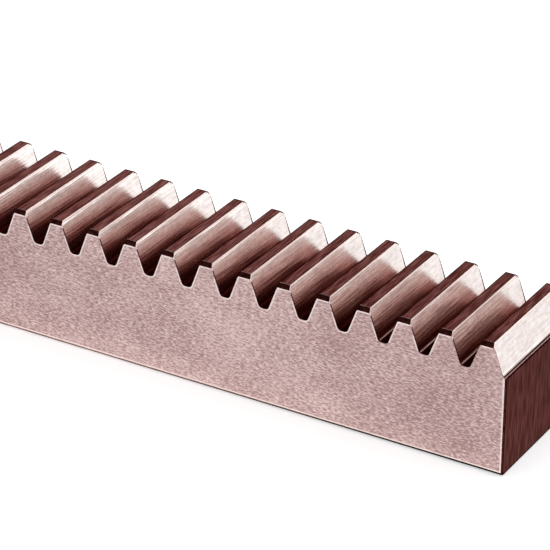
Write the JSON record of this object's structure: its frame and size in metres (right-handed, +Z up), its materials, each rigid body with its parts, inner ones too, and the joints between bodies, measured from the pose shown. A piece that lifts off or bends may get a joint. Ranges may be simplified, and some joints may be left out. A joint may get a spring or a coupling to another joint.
{
  "type": "gear rack",
  "caption": "Straight square steel bar with straight spur gear teeth cut across its top face and bevelled edges.",
  "frame": {"origin": "centre of the bottom face", "axes": "+X along the bar, +Y across it from the front side to the back side, +Z up through the teeth"},
  "size_m": [0.5022, 0.04, 0.04],
  "materials": {
    "steel": "milled"
  },
  "bodies": {
    "root": {"gear_rack": "steel"}
  },
  "joints": []
}
